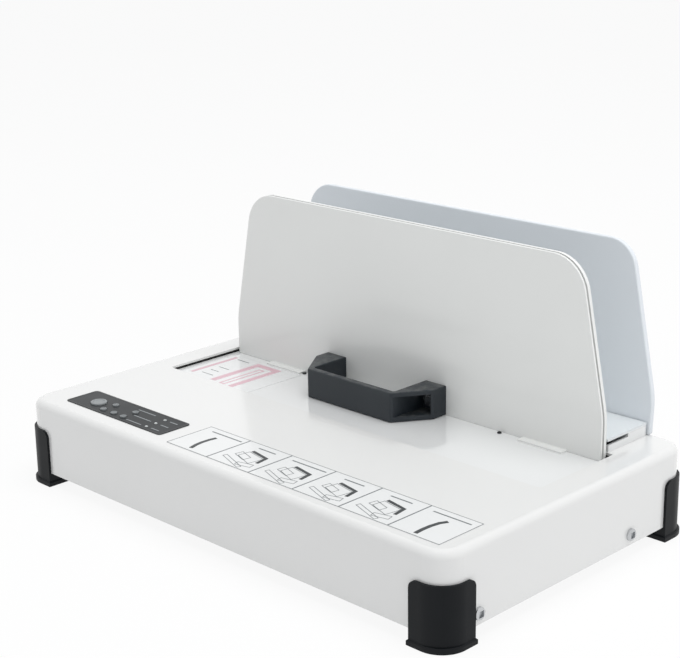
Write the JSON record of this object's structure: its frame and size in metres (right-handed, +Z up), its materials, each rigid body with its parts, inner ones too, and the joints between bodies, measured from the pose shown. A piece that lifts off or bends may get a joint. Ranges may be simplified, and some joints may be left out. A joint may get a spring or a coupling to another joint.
{
  "type": "thermal binding machine",
  "caption": "Desktop thermal binder: low white housing on corner feet, upright plates over a heated platen, and a pull handle that slides the front plate forward.",
  "frame": {"origin": "on the floor, under the middle of the housing", "axes": "+X to the operator's right along the plates, +Y to the back, +Z up"},
  "size_m": [0.3814, 0.236, 0.1785],
  "materials": {
    "white_paint": "gloss white stove enamel",
    "plate_paint": "light grey satin paint",
    "rear_plate_paint": "silver grey satin paint",
    "panel_paint": "gloss pale grey paint",
    "zinc_sheet": "zinc plated sheet",
    "bright_steel": "bright steel",
    "black_steel": "blackened steel",
    "black_rubber": "moulded black rubber",
    "charcoal_plastic": "fine grained charcoal plastic",
    "platen_aluminium": "satin anodised",
    "cast_aluminium": "as cast",
    "dark_film": "dark grey printed film",
    "grey_key": "light grey satin plastic",
    "lamp_lens": "clear tinted lens",
    "label_film": "printed film",
    "circuit_board": "green solder mask",
    "black_plastic": "black moulded plastic",
    "mica_board": "mica board",
    "bronze": "sintered bronze",
    "iron_core": "varnished laminations"
  },
  "bodies": {
    "housing": {"top_cover": "white_paint", "base_plate": "zinc_sheet", "foot_front_left": "black_rubber", "foot_front_right": "black_rubber", "foot_rear_right": "black_rubber", "foot_rear_left": "black_rubber", "foot_screws": "bright_steel", "base_screws": "bright_steel", "side_screws": "bright_steel", "rear_plate": "rear_plate_paint", "rear_brackets": "zinc_sheet", "rear_plate_screws": "bright_steel", "heating_platen": "platen_aluminium", "platen_posts": "black_plastic", "platen_spacers": "panel_paint", "heater_element": "mica_board", "insulation_pad": "mica_board", "heater_clamp": "zinc_sheet", "heater_clamp_screws": "bright_steel", "thermostat": "black_plastic", "thermal_fuse": "bright_steel", "guide_rods": "bright_steel", "rod_stands": "zinc_sheet", "rod_clips": "bright_steel", "stop_rings": "black_rubber", "control_overlay": "dark_film", "control_board": "circuit_board", "board_spacers": "bright_steel", "board_screws": "bright_steel", "tact_switches": "black_plastic", "status_lamps": "lamp_lens", "buzzer": "black_plastic", "power_board": "circuit_board", "power_spacers": "bright_steel", "transformer": "iron_core", "relay": "black_plastic", "mains_inlet": "black_plastic", "inlet_pins": "bronze", "inlet_screws": "bright_steel", "instruction_label": "label_film"},
    "clamp": {"front_plate": "plate_paint", "front_plate_backing": "plate_paint", "slide_panel": "panel_paint", "slide_carriage": "cast_aluminium", "slide_bushes": "bronze", "panel_screws": "black_steel", "pull_handle": "charcoal_plastic", "handle_screws": "bright_steel", "handle_nuts": "bright_steel", "scale_label": "label_film"},
    "power_button": {"power_button": "grey_key"},
    "key_1": {"key_1": "grey_key"},
    "key_2": {"key_2": "grey_key"},
    "key_3": {"key_3": "grey_key"},
    "key_4": {"key_4": "grey_key"},
    "key_5": {"key_5": "grey_key"}
  },
  "joints": [
    {"name": "clamp_slide", "type": "slide", "parent": "housing", "child": "clamp", "axis": [0, -1, 0], "range_m": [0, 0.026]},
    {"name": "power_button_press", "type": "slide", "parent": "housing", "child": "power_button", "axis": [0, 0, -1], "range_m": [0, 0.0008], "stiffness_N_per_m": 1500, "springref_m": -0.0003},
    {"name": "key_1_press", "type": "slide", "parent": "housing", "child": "key_1", "axis": [0, 0, -1], "range_m": [0, 0.0008], "stiffness_N_per_m": 1500, "springref_m": -0.0003},
    {"name": "key_2_press", "type": "slide", "parent": "housing", "child": "key_2", "axis": [0, 0, -1], "range_m": [0, 0.0008], "stiffness_N_per_m": 1500, "springref_m": -0.0003},
    {"name": "key_3_press", "type": "slide", "parent": "housing", "child": "key_3", "axis": [0, 0, -1], "range_m": [0, 0.0008], "stiffness_N_per_m": 1500, "springref_m": -0.0003},
    {"name": "key_4_press", "type": "slide", "parent": "housing", "child": "key_4", "axis": [0, 0, -1], "range_m": [0, 0.0008], "stiffness_N_per_m": 1500, "springref_m": -0.0003},
    {"name": "key_5_press", "type": "slide", "parent": "housing", "child": "key_5", "axis": [0, 0, -1], "range_m": [0, 0.0008], "stiffness_N_per_m": 1500, "springref_m": -0.0003}
  ]
}
